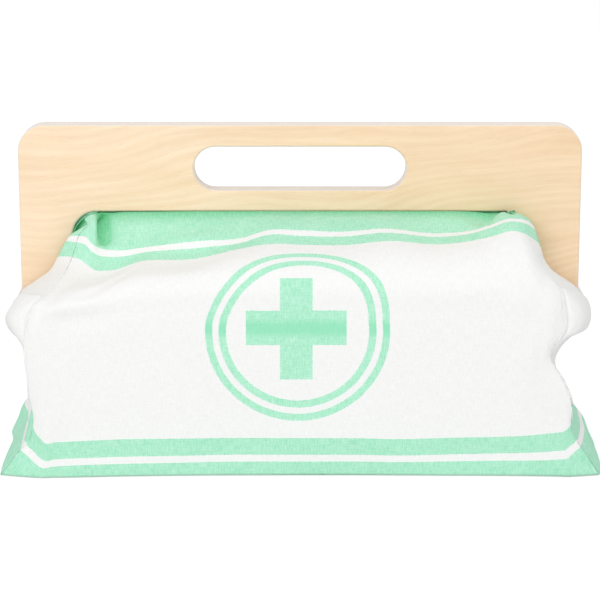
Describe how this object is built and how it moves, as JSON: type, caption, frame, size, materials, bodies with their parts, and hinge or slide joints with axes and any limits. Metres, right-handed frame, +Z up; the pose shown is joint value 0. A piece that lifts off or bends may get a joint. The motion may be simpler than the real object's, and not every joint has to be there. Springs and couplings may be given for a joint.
{
  "type": "toy doctor case",
  "caption": "Soft canvas toy doctor case with a flat base, striped side panels and two hinged plywood handle boards with hand slots.",
  "frame": {"origin": "middle of the bag's underside, on the surface that it stands on", "axes": "+X along the case to the viewer's right, -Y to the front panel, +Z up"},
  "size_m": [0.29, 0.123, 0.1612],
  "materials": {
    "plywood": "clear satin lacquer",
    "canvas": "plain weave",
    "printed_canvas": "plain weave with a printed pattern",
    "stiffener": "smooth hardboard",
    "steel": "satin zinc plate",
    "hook_and_loop": "short pile"
  },
  "bodies": {
    "bag": {"bottom_panel": "canvas", "base_board": "stiffener", "front_panel": "printed_canvas", "rear_panel": "printed_canvas", "front_panel_top": "printed_canvas", "rear_panel_top": "printed_canvas", "left_gusset": "canvas", "right_gusset": "canvas", "front_gusset_folds": "canvas", "rear_gusset_folds": "canvas"},
    "front_handle": {"front_handle_board": "plywood", "front_hem": "canvas", "front_batten": "plywood", "front_batten_screws": "steel", "front_hinge_screws": "steel", "hook_dots": "hook_and_loop", "left_hinge_front_leaf": "steel", "right_hinge_front_leaf": "steel", "left_hinge_pin": "steel", "right_hinge_pin": "steel"},
    "rear_handle": {"rear_handle_board": "plywood", "rear_hem": "canvas", "rear_batten": "plywood", "rear_batten_screws": "steel", "rear_hinge_screws": "steel", "loop_dots": "hook_and_loop", "left_hinge_rear_leaf": "steel", "right_hinge_rear_leaf": "steel"}
  },
  "joints": [
    {"name": "front_handle_swing", "type": "hinge", "parent": "bag", "child": "front_handle", "pos_m": [0, 0, 0.0587], "axis": [1, 0, 0], "range_deg": [0, 40], "deforming": ["front_panel_top", "front_gusset_folds"]},
    {"name": "rear_handle_swing", "type": "hinge", "parent": "bag", "child": "rear_handle", "pos_m": [0, 0, 0.0587], "axis": [-1, 0, 0], "range_deg": [0, 40], "deforming": ["rear_panel_top", "rear_gusset_folds"]}
  ]
}
